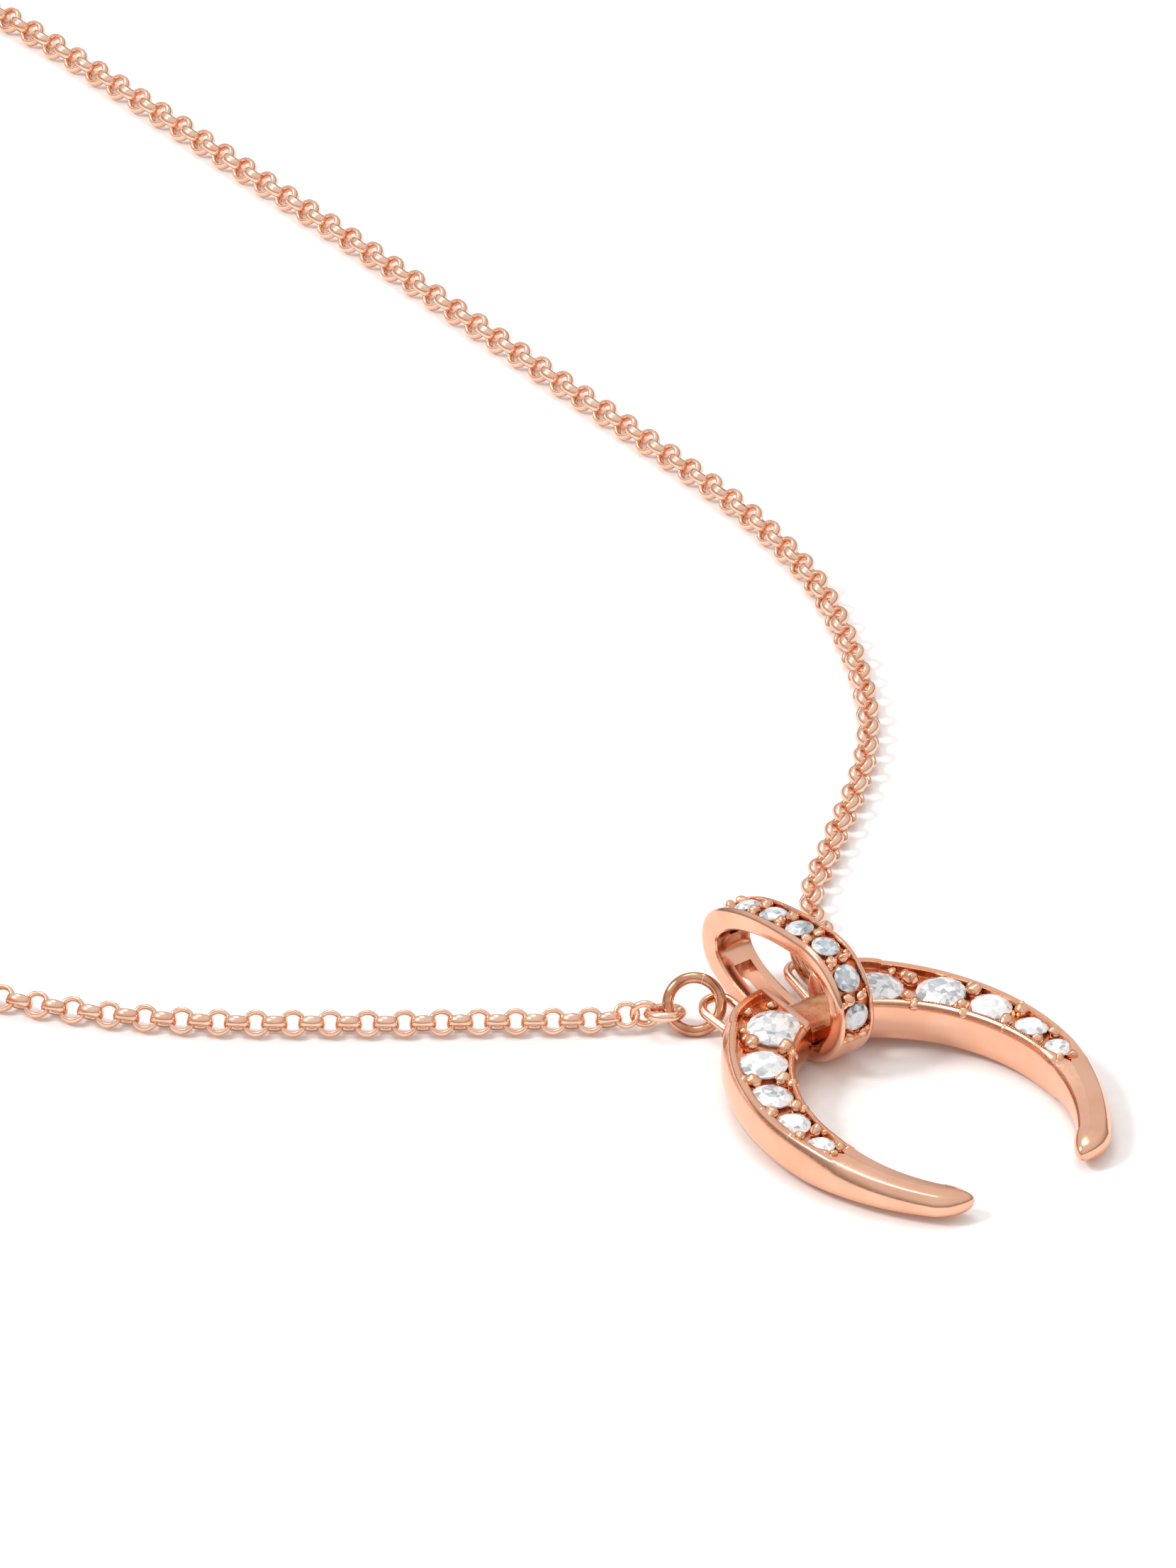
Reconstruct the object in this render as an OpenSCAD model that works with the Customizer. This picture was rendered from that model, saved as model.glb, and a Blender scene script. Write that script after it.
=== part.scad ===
// Double-horn pendant on a fine belcher chain. Millimetres, +Z up, everything lies on z = 0.
// The horn's tips point along -Y, its neck and the bail lie along +Y, and the neck runs along X.

/* [Horn] */
// Radius of the outer edge of each arm
outer_r = 11.85; // [9:0.05:15]
// How far the outer edge's centre lies across the middle line
outer_cx = 3.75; // [2:0.05:6]
// Height of the outer edge's centre along Y, from the horn's own origin
outer_cy = -0.3; // [-2:0.05:2]
// Radius of the inner edge of each arm
inner_r = 8.6; // [6:0.05:12]
// How far the inner edge's centre lies across the middle line
inner_cx = 2.67; // [1:0.05:5]
// Height of the inner edge's centre along Y
inner_cy = -1.73; // [-4:0.01:1]
// Thickness of the arms at the pave
horn_t = 2.1; // [1.5:0.05:3]
// Angle round the outer edge's centre at which each arm runs into its tip, from the -X direction
tip_angle = -42; // [-50:0.5:-35]
// How far along the arm the tip reaches past that angle
tip_reach = 1.25; // [1:0.1:3]
// Radius of the tip's rounded end
tip_r = 0.5; // [0.3:0.05:0.8]
// How much thinner the arm gets on its top face at the tip
tip_drop = 0.65; // [0:0.05:1]
// How much the underside rises at the tip
tip_rise = 0.6; // [0:0.05:0.8]
// Y at which the arms start to thin towards the tips
taper_from = -2; // [-6:0.1:0]
// Tilt of the horn, raised at the neck where it lies on the bail
horn_tilt = 3.4; // [0:0.1:6]
// Height of the horn's back plane above the surface, at the horn's own origin
horn_lift = 0.3; // [0:0.01:1]
// Half the gap between the arms' end walls at the neck
neck_half = 1.35; // [1.2:0.05:2]
// Radius of the rounded shoulder where each arm meets the neck
shoulder_r = 4.43; // [3.5:0.01:6]
// Width of the neck bar along Y
neck_w = 2.2; // [1.5:0.05:3]
// Height of the neck's top above the horn's back plane
neck_top = 1.65; // [1.2:0.05:2]

/* [Pave] */
// Width of the rims beside the channel
rim = 0.35; // [0.2:0.01:0.6]
// Depth of the channel below the rims
channel_depth = 0.35; // [0.2:0.01:0.6]
// Diameter of the largest stone, next to the neck
stone_1 = 2.5; // [1.5:0.05:3]
// Diameter of the second stone
stone_2 = 2.3; // [1.5:0.05:3]
// Diameter of the third stone
stone_3 = 1.95; // [1.2:0.05:2.5]
// Diameter of the fourth stone
stone_4 = 1.6; // [1:0.05:2]
// Diameter of the smallest stone
stone_5 = 1.35; // [0.8:0.05:1.8]
// Gap between neighbouring stones
stone_gap = 0.52; // [0.1:0.01:0.8]
// Angle of the first stone round the outer edge's centre
stone_start = 45.5; // [35:0.5:50]
// How far the first stone is set in from the arm's middle
first_in = 0.3; // [0:0.05:0.6]
// Radius of the grains that hold the stones
grain_r = 0.22; // [0.1:0.01:0.4]

/* [Bail] */
// Outer radius of the bail's near end, round the neck
bail_near_r = 3.1; // [2.5:0.05:4]
// Outer radius of the bail's far end
bail_far_r = 2.6; // [2:0.05:4]
// Distance between the centres of the bail's two ends
bail_len = 5; // [3:0.1:8]
// Width of the bail's band
bail_w = 2.15; // [1.5:0.05:2.5]
// Wall of the bail's band
bail_wall = 0.93; // [0.6:0.05:1.5]
// Diameter of the bail's stones
bail_stone = 1.3; // [0.8:0.05:1.6]
// Distance from one bail stone to the next, along the row
bail_pitch = 1.95; // [1.5:0.05:3]
// Depth of the bail's channel below its rims
bail_channel = 0.3; // [0.1:0.05:0.4]
// Length of the slot in the bail's underside
bail_slot = 4.6; // [2:0.1:6]
// Running clearance between the neck and the bail
bail_clear = 0.06; // [0.02:0.01:0.1]

/* [Rings] */
// Radius of the jump rings, to the middle of the wire
jump_r = 1.24; // [0.8:0.02:2]
// Wire radius of the jump rings
jump_wire = 0.25; // [0.15:0.01:0.4]
// Radius of the soldered loops, to the middle of the wire
loop_r = 0.8; // [0.6:0.01:1.2]
// Wire radius of the soldered loops
loop_wire = 0.22; // [0.15:0.01:0.3]
// Radius of the chain's end links, to the middle of the wire
end_r = 0.78; // [0.5:0.01:1]
// Wire radius of the end links
end_wire = 0.24; // [0.15:0.01:0.3]
// Radius of the connecting links, to the middle of the wire
link_r = 0.56; // [0.4:0.01:0.8]
// Wire radius of the connecting links
link_wire = 0.17; // [0.1:0.01:0.25]

/* [Chain] */
// Diameter of the chain over its links
chain_d = 1.3; // [0.8:0.05:2]
// Radius of a put-away coil, to the middle of its turns
coil_r = 7.25; // [6:0.05:9]
// Turns side by side in a coil
coil_wide = 2; // [1:1:3]
// Turns on top of each other in a coil
coil_high = 2; // [1:1:3]

/* [Clasp] */
// Length of the clasp's body from the eye's centre to the hook's centre
clasp_len = 5.6; // [4:0.1:8]
// Thickness of the clasp
clasp_t = 2.2; // [1.4:0.05:2.5]
// Outer radius of the clasp's hook
hook_r = 2.3; // [1.8:0.05:3]
// Width of the hook's wire
hook_w = 0.95; // [0.6:0.05:1.2]
// Thickness of the clasp's eye
eye_t = 1; // [0.6:0.05:1.6]
// Outer radius of the clasp's eye
eye_r = 0.9; // [0.8:0.05:1.5]
// Radius of the hole in the clasp's eye
eye_hole = 0.45; // [0.4:0.05:0.8]
// Radius of the trigger's pin
pin_r = 0.3; // [0.2:0.01:0.5]
// Running clearance round the pin
pin_clear = 0.04; // [0.02:0.01:0.1]
// Side clearance of the trigger in its slot
trigger_side = 0.1; // [0.05:0.01:0.2]
// Radius of the clasp's own ring, to the middle of the wire
clasp_ring_r = 0.95; // [0.8:0.05:2]
// Wire radius of the clasp's ring
clasp_ring_wire = 0.25; // [0.2:0.01:0.5]
// Radius of the catch ring at the other end, to the middle of the wire
catch_r = 1.9; // [1.2:0.05:3]
// Wire radius of the catch ring
catch_wire = 0.4; // [0.2:0.01:0.6]

/* [Hidden] */
$fn = 64;
eps = 0.01;

// Where things stand along Y in the horn's own origin; y_mid puts the box's middle on the origin.
bail_near_y = 7.1;
bail_far_y = bail_near_y + bail_len;
tip_mid = arm_mid(tip_angle) + tip_reach * [sin(12 - tip_angle), -cos(12 - tip_angle)];
tip_end_y = tip_mid[1] - tip_r;
tip_low_y = tip_end_y * cos(horn_tilt) - (horn_t - tip_drop) * sin(horn_tilt);
y_mid = (bail_far_y + bail_far_r + tip_low_y) / 2;
bail_in_near = bail_near_r - bail_wall;
bail_in_far = bail_far_r - bail_wall;

// The bail's outline: two circles with a common floor line and the tangent over the top.
bail_dz = bail_far_r - bail_near_r;
bail_gap = sqrt(bail_len * bail_len + bail_dz * bail_dz);
bail_base = atan2(bail_dz, bail_len);
bail_open = acos((bail_near_r - bail_far_r) / bail_gap);

// The arms: middles and widths by angle round the outer edge's centre, 0 towards -X.
function arm_dir(a) = [-cos(a), sin(a)];
function arm_out(a) = [outer_cx, outer_cy] + outer_r * arm_dir(a);
function arm_in(a) = [inner_cx, inner_cy] + in_reach(a) * arm_dir(a)
    - [inner_cx - outer_cx, inner_cy - outer_cy];
function in_off(a) = [inner_cx - outer_cx, inner_cy - outer_cy] * arm_dir(a);
function in_cross(a) = (inner_cx - outer_cx) * arm_dir(a)[1] - (inner_cy - outer_cy) * arm_dir(a)[0];
function in_reach(a) = in_off(a) + sqrt(inner_r * inner_r - in_cross(a) * in_cross(a));
function arm_w(a) = outer_r - in_reach(a);
function arm_mid(a) = [outer_cx, outer_cy] + (outer_r - arm_w(a) / 2) * arm_dir(a);

// The stones run along the arm's middle, each a gap after the last.
stones = [stone_1, stone_2, stone_3, stone_4, stone_5];
mid_r = outer_r - 1.4;
function stone_step(i) = ((stones[i - 1] + stones[i]) / 2 + stone_gap) / mid_r * 180 / PI;
function stone_angle(i) = i == 0 ? stone_start : stone_angle(i - 1) - stone_step(i);
function stone_at(i) = arm_mid(stone_angle(i)) - (i == 0 ? first_in : 0) * arm_dir(stone_angle(i));
channel_end = stone_angle(4) - 9;
seat_z = horn_t - channel_depth;

// The rounded shoulder's middle.
shoulder_x = 1.6;
shoulder_y = 5;

// Rings and links lie where the chain pulls them, alike on both sides. Each is [middle, axis].
loop_at = [[-2.5, 11.3, 1.15], [-0.05, -0.18, 1]];
jump_at = [[-3.4, 12.07, 1.34], [-0.52, -0.677, 0.521]];
end_at = [[-4.57, 12.8, 0.97], [0.15, 0.25, 1]];
link_at = [[-5.3, 13.38, 0.9], [0.6, 0.75, 0]];

// Routes of the chain on the surface.
lie = chain_d / 2;
left_route = [[-6.1, 13.8, lie], [-6.9, 14.4, lie], [-9.6, 16.3, lie], [-12.3, 18.3, lie],
    [-15.1, 20.3, lie], [-17.8, 22.4, lie], [-20.5, 24.5, lie], [-23, 26.8, lie],
    [-25.3, 29.3, lie], [-27.4, 32.1, lie], [-29.3, 35.2, lie]];
right_route = [[5.9, 14.1, lie], [6.3, 15.4, lie], [7, 16.6, lie], [8.4, 18.1, lie], [9.7, 19.1, lie],
    [12.1, 21.1, lie], [14.7, 23.2, lie], [17.2, 25.5, lie], [19.6, 28.3, lie],
    [21.3, 30.9, lie], [22.9, 33.9, lie], [24.9, 38.5, lie], [25.9, 42, lie],
    [26.7, 47.2, lie], [27, 54, lie], [27.1, 63, lie], [27.2, 70, lie], [27.3, 78, lie],
    [27.3, 87, lie], [27.3, 95, lie], [27.2, 103, lie], [26.9, 109, lie]];
left_coil_at = [-38.5, 35];
left_coil_in = 32;
right_coil_at = [18.8, 113];
right_coil_in = 3;
turn_out_r = coil_r + chain_d * (coil_wide - 1) / 2;
coil_out_r = coil_r + chain_d * coil_wide / 2;
coil_in_r = coil_r - chain_d * coil_wide / 2;

// The tails leave both coils in the same direction and end at the clasp and the catch ring.
tail_angle = 52.5;
tail_dir = [-sin(tail_angle), cos(tail_angle)];
tail_steps = [[3.2, 1.5], [4.2, 1.05], [5.2, 0.75], [6.2, lie], [7.2, lie]];
function tail_point(c, s, z) = [
    c[0] + turn_out_r * cos(tail_angle) + s * tail_dir[0],
    c[1] + turn_out_r * sin(tail_angle) + s * tail_dir[1], z];
function coil_point(c, a) = [c[0] + turn_out_r * cos(a), c[1] + turn_out_r * sin(a), lie];
tail_end = 7.2;
ring_gap = 0.08;
clasp_ring_s = tail_end + ring_gap + clasp_ring_r + clasp_ring_wire;
clasp_z = clasp_ring_r + clasp_ring_wire;
eye_s = clasp_ring_s + clasp_ring_r;
catch_s = tail_end + ring_gap + catch_r + catch_wire;

// The trigger's pivot, its slot and its reach, in the clasp's own axes: +X from eye to hook.
hook_x = clasp_len;
body_x = hook_x - 3.1;
pivot = [body_x + 0.05, -1.15];
trigger_t = clasp_t / 2;
gap_from = -128;
gap_to = -52;
trigger_reach = 3.8;
slot_top = 0.5;
hook_mid = hook_r - hook_w / 2;

gold = [0.9, 0.66, 0.55];
stone_grey = [0.9, 0.93, 0.96];

// ---- helpers ----

// From the horn's own origin to the part's.
module laid() {
    translate([0, -y_mid, 0])
        children();
}

module in_horn() {
    translate([0, 0, horn_lift])
        rotate([horn_tilt, 0, 0])
            children();
}

module both_arms() {
    children();
    mirror([1, 0, 0])
        children();
}

// Turns +Z into the axis a and moves to p.
module on_axis(p, a) {
    translate(p)
        rotate([0, atan2(sqrt(a[0] * a[0] + a[1] * a[1]), a[2]), atan2(a[1], a[0])])
            children();
}

module torus(r, wire) {
    rotate_extrude()
        translate([r, 0])
            circle(r = wire, $fn = 32);
}

// A pie slice from angle a0 to a1 round the outer edge's centre, measured as in arm_dir.
module slice(a0, a1, r) {
    steps = 8;
    pts = [for (i = [0:steps]) let (a = a0 + (a1 - a0) * i / steps) r * arm_dir(a)];
    translate([outer_cx, outer_cy])
        polygon(concat([[0, 0]], pts));
}

// One round stone, girdle at z = 0: crown above, pavilion below.
module stone(d) {
    girdle = 0.03 * d;
    crown = 0.14 * d;
    pavilion = 0.4 * d;
    rotate_extrude()
        polygon([[0, -pavilion], [d / 2, -girdle], [d / 2, girdle], [0.28 * d, crown], [0, crown]]);
}

// The hole under a stone: a seat that its pavilion rests in, and a way through to the back.
module seat(d, through) {
    girdle = 0.03 * d;
    pavilion = 0.4 * d;
    rotate_extrude()
        polygon([[0, -pavilion], [d / 2, -girdle], [d / 2, 2], [0, 2]]);
    translate([0, 0, -through])
        cylinder(r = 0.2 * d, h = through);
}

// ---- horn ----

// The flat shape between the arm's two edges, moved in from them by the given amount.
module arm_outline(inset) {
    difference() {
        translate([outer_cx, outer_cy])
            circle(r = outer_r - inset, $fn = 180);
        translate([inner_cx, inner_cy])
            circle(r = inner_r + inset, $fn = 180);
    }
}

// The flat region inside the rounded shoulder, the neck's end wall, and everything below.
module shoulder(inset) {
    intersection() {
        union() {
            translate([-shoulder_x, shoulder_y])
                circle(r = shoulder_r - inset, $fn = 120);
            translate([-2 * outer_r, -2 * outer_r])
                square([4 * outer_r, 2 * outer_r + shoulder_y + 3]);
        }
        translate([-2 * outer_r, -2 * outer_r])
            square([2 * outer_r - neck_half - inset, 4 * outer_r]);
    }
}

module arm() {
    a = tip_angle;
    intersection() {
        union() {
            linear_extrude(height = horn_t)
                intersection() {
                    arm_outline(0);
                    slice(a, 75, 2 * outer_r);
                    shoulder(0);
                }
            linear_extrude(height = horn_t)
                polygon([arm_mid(a + 1) - (arm_w(a) / 2 - 0.04) * arm_dir(a + 1),
                    tip_mid + tip_r * [cos(45), sin(45)],
                    tip_mid + tip_r * [cos(-112), sin(-112)],
                    arm_mid(a + 1) + (arm_w(a) / 2 - 0.04) * arm_dir(a + 1)]);
            translate([tip_mid[0], tip_mid[1], 0])
                cylinder(r = tip_r, h = horn_t);
        }
        thinning();
    }
}

// What is left of the arms' height: full at the pave, thinner from both faces to the tips.
module thinning() {
    run = taper_from - tip_end_y + 1;
    translate([-20, 0, 0])
        rotate([90, 0, 90])
            linear_extrude(height = 40)
                polygon([[20, 0], [taper_from, 0], [taper_from - run, tip_rise],
                    [taper_from - run, horn_t - tip_drop], [taper_from, horn_t], [20, horn_t]]);
}

module channel() {
    translate([0, 0, seat_z])
        linear_extrude(height = 1)
            intersection() {
                arm_outline(rim);
                slice(channel_end, 75, 2 * outer_r);
                shoulder(rim);
            }
}

// The neck is a bar whose underside is hollowed to clear the bail's round end.
module neck() {
    intersection() {
        translate([-neck_half - 0.5, -neck_w / 2 + bail_near_y, 0])
            cube([2 * neck_half + 1, neck_w, horn_lift + 3]);
        translate([0, bail_near_y, bail_near_r])
            rotate([0, 90, 0])
                cylinder(r = bail_in_near - bail_clear, h = 2 * neck_half + 1, center = true);
        in_horn()
            translate([-3, 0, -2])
                cube([6, 20, neck_top + 2]);
    }
}

// Pairs of grains stand in the corners between neighbouring stones.
module grains() {
    for (i = [0:4]) {
        a = stone_angle(i) - (i < 4 ? stone_step(i + 1) : 7) / 2;
        side = min(arm_w(a) / 2 - rim - 0.12, i < 4 ? 0.36 * stones[i] : 0.3);
        for (s = [-1, 1])
            translate(concat(arm_mid(a) + s * side * arm_dir(a), [seat_z + 0.06]))
                sphere(r = grain_r, $fn = 24);
    }
}

module horn_arm() {
    difference() {
        union() {
            difference() {
                arm();
                channel();
            }
            grains();
        }
        for (i = [0:4])
            translate([stone_at(i)[0], stone_at(i)[1], seat_z])
                seat(stones[i], 3);
    }
}

module horn_body() {
    color(gold) laid() {
        in_horn()
            both_arms()
                horn_arm();
        neck();
    }
}

module arm_stone(i, side) {
    color(stone_grey) laid()
        in_horn()
            translate([side * stone_at(i)[0], stone_at(i)[1], seat_z])
                stone(stones[i]);
}

module left_stone_1() { arm_stone(0, 1); }
module left_stone_2() { arm_stone(1, 1); }
module left_stone_3() { arm_stone(2, 1); }
module left_stone_4() { arm_stone(3, 1); }
module left_stone_5() { arm_stone(4, 1); }
module right_stone_1() { arm_stone(0, -1); }
module right_stone_2() { arm_stone(1, -1); }
module right_stone_3() { arm_stone(2, -1); }
module right_stone_4() { arm_stone(3, -1); }
module right_stone_5() { arm_stone(4, -1); }

// ---- soldered loops ----

// A bent wire whose two legs run to the arm's shoulder and stop on it.
module loop() {
    reach = 2.2;
    lean = -6;
    color(gold) laid()
        difference() {
            on_axis(loop_at[0], loop_at[1])
                rotate([0, 0, -lean - atan2(loop_at[1][1], loop_at[1][0])]) {
                    rotate_extrude(angle = 180)
                        translate([loop_r, 0])
                            circle(r = loop_wire, $fn = 32);
                    for (s = [-1, 1])
                        translate([s * loop_r, 0, 0])
                            rotate([90, 0, 0])
                                cylinder(r = loop_wire, h = reach, $fn = 32);
                }
            in_horn()
                translate([-shoulder_x, shoulder_y, -2])
                    cylinder(r = shoulder_r, h = horn_t + 4, $fn = 120);
        }
}

module left_loop() { loop(); }
module right_loop() { mirror([1, 0, 0]) loop(); }

// ---- bail ----

module bail_outline(rn, rf) {
    a = bail_base + bail_open;
    b = bail_base - bail_open;
    circle(r = rn, $fn = 120);
    translate([bail_len, bail_dz])
        circle(r = rf, $fn = 120);
    polygon([rn * [cos(a), sin(a)], rn * [cos(b), sin(b)],
        [bail_len, bail_dz] + rf * [cos(b), sin(b)], [bail_len, bail_dz] + rf * [cos(a), sin(a)]]);
}

module bail_band(off, w) {
    rotate([90, 0, 90])
        linear_extrude(height = w, center = true)
            bail_outline(bail_near_r - off, bail_far_r - off);
}

module at_bail() {
    translate([0, bail_near_y, bail_near_r])
        children();
}

// Places along the row of stones: from the near end, over the top and down the far end.
bail_row_r = bail_near_r - bail_channel;
bail_far_row = bail_far_r - bail_channel;
near_arc = (180 - bail_base - bail_open) * PI / 180 * bail_row_r;
top_run = bail_gap * sin(bail_open);
module on_row(s) {
    at_bail()
        if (s < near_arc)
            let (a = 180 - s / bail_row_r * 180 / PI)
                rotate([a, 0, 0])
                    translate([0, bail_row_r, 0])
                        rotate([-90, 0, 0])
                            children();
        else if (s < near_arc + top_run)
            rotate([bail_base + bail_open, 0, 0])
                translate([0, bail_row_r, 0])
                    rotate([-90, 0, 0])
                        translate([0, s - near_arc, 0])
                            children();
        else
            let (a = bail_base + bail_open - (s - near_arc - top_run) / bail_far_row * 180 / PI)
                translate([0, bail_len, bail_dz])
                    rotate([a, 0, 0])
                        translate([0, bail_far_row, 0])
                            rotate([-90, 0, 0])
                                children();
}

bail_stone_count = 7;
module bail_row() {
    for (i = [0:bail_stone_count - 1])
        on_row(i * bail_pitch)
            children();
}

module bail() {
    floor_y = bail_len / 2;
    color(gold) laid()
        difference() {
            at_bail()
                bail_band(0, bail_w);
            at_bail()
                bail_band(bail_wall, bail_w + 1);
            at_bail()
                intersection() {
                    difference() {
                        bail_band(-1, bail_w - 2 * rim);
                        bail_band(bail_channel, bail_w);
                    }
                    translate([-bail_w, -5, -1.2])
                        cube([2 * bail_w, 20, 10]);
                }
            bail_row()
                seat(bail_stone, 1.2);
            at_bail()
                for (y = [floor_y - bail_slot / 2 + 0.5, floor_y + bail_slot / 2 - 0.5])
                    translate([0, y, -bail_near_r - eps])
                        cylinder(r = 0.5, h = bail_wall + 2 * eps);
            at_bail()
                translate([-0.5, floor_y - bail_slot / 2 + 0.5, -bail_near_r - eps])
                    cube([1, bail_slot - 1, bail_wall + 2 * eps]);
        }
}

module bail_stones() {
    color(stone_grey) laid()
        bail_row()
            stone(bail_stone);
}

// ---- jump rings and end links ----

module ring_at(at, r, wire) {
    color(gold) laid()
        on_axis(at[0], at[1])
            torus(r, wire);
}

module left_jump_ring() { ring_at(jump_at, jump_r, jump_wire); }
module right_jump_ring() { mirror([1, 0, 0]) left_jump_ring(); }
module left_end_link() { ring_at(end_at, end_r, end_wire); }
module right_end_link() { mirror([1, 0, 0]) left_end_link(); }
module left_connecting_link() { ring_at(link_at, link_r, link_wire); }
module right_connecting_link() { mirror([1, 0, 0]) left_connecting_link(); }

// ---- chain ----

// A round tube swept along a route, with eight sides.
module tube(route, r) {
    n = len(route);
    sides = 8;
    heads = [for (i = [0:n - 1]) route[min(i + 1, n - 1)] - route[max(i - 1, 0)]];
    function ring(i) = let (d = heads[i] / norm(heads[i]), sx = cross(d, [0, 0, 1]),
        side = sx / norm(sx), up = cross(side, d))
        [for (k = [0:sides - 1]) let (a = 360 * (k + 0.5) / sides)
            route[i] + r * (cos(a) * side + sin(a) * up)];
    pts = [for (i = [0:n - 1]) each ring(i)];
    walls = [for (i = [0:n - 2]) for (k = [0:sides - 1]) let (m = (k + 1) % sides)
        [i * sides + k, i * sides + m, (i + 1) * sides + m, (i + 1) * sides + k]];
    first = [for (k = [0:sides - 1]) sides - 1 - k];
    last = [for (k = [0:sides - 1]) (n - 1) * sides + k];
    polyhedron(points = pts, faces = concat(walls, [first, last]));
}

module chain(route, coil_at, coil_in) {
    color(gold) laid() {
        tube(concat(route, [coil_point(coil_at, coil_in)]), lie);
        tube([for (s = tail_steps) tail_point(coil_at, s[0], s[1])], lie);
    }
}

module chain_coil(at) {
    color(gold) laid()
        translate([at[0], at[1], 0])
            rotate_extrude($fn = 96)
                translate([coil_in_r, 0])
                    square([coil_out_r - coil_in_r, chain_d * coil_high]);
}

module left_chain() { chain(left_route, left_coil_at, left_coil_in); }
module right_chain() { chain(right_route, right_coil_at, right_coil_in); }
module left_chain_coil() { chain_coil(left_coil_at); }
module right_chain_coil() { chain_coil(right_coil_at); }

// ---- clasp ----

// The clasp's own axes: origin at the eye's middle, +X towards the hook, flat on the surface.
module in_clasp() {
    translate(tail_point(left_coil_at, eye_s, clasp_z))
        rotate([0, 0, tail_angle + 90])
            children();
}

module clasp_ring() {
    color(gold) laid()
        translate(tail_point(left_coil_at, clasp_ring_s, clasp_z))
            rotate([0, 0, tail_angle + 90])
                rotate([90, 0, 0])
                    torus(clasp_ring_r, clasp_ring_wire);
}

// A wedge of the hook's ring between two angles.
module wedge(a0, a1, r, h) {
    steps = 6;
    linear_extrude(height = h, center = true)
        polygon(concat([[0, 0]], [for (i = [0:steps]) let (a = a0 + (a1 - a0) * i / steps)
            r * [cos(a), sin(a)]]));
}

module hook_ring(grow) {
    difference() {
        cylinder(r = hook_r + grow, h = clasp_t, center = true);
        cylinder(r = hook_r - hook_w - grow, h = clasp_t + 1, center = true);
    }
}

module clasp_body() {
    slot_h = trigger_t + 2 * trigger_side;
    color(gold) laid()
        in_clasp()
            difference() {
                union() {
                    cylinder(r = eye_r, h = eye_t, center = true);
                    translate([0.7, -0.6, -eye_t / 2])
                        cube([body_x - 0.9, 1.2, eye_t]);
                    translate([body_x, 0, 0])
                        cylinder(r = 1.7, h = clasp_t, center = true);
                    translate([hook_x, 0, 0])
                        hook_ring(0);
                }
                cylinder(r = eye_hole, h = clasp_t + 1, center = true);
                translate([hook_x, 0, 0])
                    cylinder(r = hook_r - hook_w, h = clasp_t + 1, center = true);
                translate([hook_x, 0, 0])
                    wedge(gap_from, gap_to, 4, clasp_t + 1);
                translate([pivot[0] - 1.2, -4, -slot_h / 2])
                    cube([4, 4 + slot_top, slot_h]);
                translate([pivot[0], pivot[1], 0])
                    cylinder(r = pin_r, h = clasp_t + 1, center = true);
            }
}

module clasp_pin() {
    color(gold) laid()
        in_clasp()
            translate([pivot[0], pivot[1], 0])
                cylinder(r = pin_r, h = clasp_t, center = true);
}

// The trigger: a boss on the pin, an arm that closes the hook's gap and a thumb tab.
module clasp_trigger() {
    color(gold) laid()
        in_clasp()
            difference() {
                union() {
                    translate([pivot[0], pivot[1], 0])
                        cylinder(r = 0.7, h = trigger_t, center = true);
                    intersection() {
                        translate([pivot[0], pivot[1], 0])
                            cylinder(r = trigger_reach, h = trigger_t, center = true);
                        translate([hook_x, 0, 0])
                            difference() {
                                cylinder(r = hook_r, h = trigger_t, center = true);
                                cylinder(r = hook_r - 0.7, h = trigger_t + 1, center = true);
                            }
                        translate([hook_x, 0, 0])
                            wedge(-160, gap_to - 3, 4, trigger_t + 1);
                    }
                    translate([pivot[0], pivot[1], 0])
                        rotate([0, 0, -12])
                            translate([0, -0.4, -trigger_t / 2])
                                cube([1.4, 0.8, trigger_t]);
                    translate([pivot[0] - 0.3, pivot[1] - 1.5, -trigger_t / 2])
                        cube([0.6, 1.5, trigger_t]);
                }
                translate([pivot[0], pivot[1], 0])
                    cylinder(r = pin_r + pin_clear, h = clasp_t + 1, center = true);
            }
}

// The spring is a small coil in the body's slot, drawn as its outer shape.
module clasp_spring() {
    color(stone_grey) laid()
        in_clasp()
            translate([pivot[0] - 0.75, slot_top, 0])
                rotate([90, 0, 0])
                    cylinder(r = 0.2, h = 0.9);
}

module catch_ring() {
    color(gold) laid()
        translate(tail_point(right_coil_at, catch_s, catch_wire))
            torus(catch_r, catch_wire);
}

horn_body();
left_stone_1();
left_stone_2();
left_stone_3();
left_stone_4();
left_stone_5();
right_stone_1();
right_stone_2();
right_stone_3();
right_stone_4();
right_stone_5();
left_loop();
right_loop();
bail();
bail_stones();
left_jump_ring();
right_jump_ring();
left_end_link();
right_end_link();
left_connecting_link();
right_connecting_link();
left_chain();
right_chain();
left_chain_coil();
right_chain_coil();
clasp_ring();
clasp_body();
clasp_trigger();
clasp_pin();
clasp_spring();
catch_ring();
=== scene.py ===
"""Looks of a double-horn pendant on a stone-set bail, with a fine belcher chain.

Sizes are in millimetres in the code and become metres where a mesh is made. The horn is drawn in
its own plane, which is tilted a little because its neck lies on the bail.
"""

import math
import random

import bmesh
import bpy
import numpy as np
from mathutils import Matrix, Vector

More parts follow.
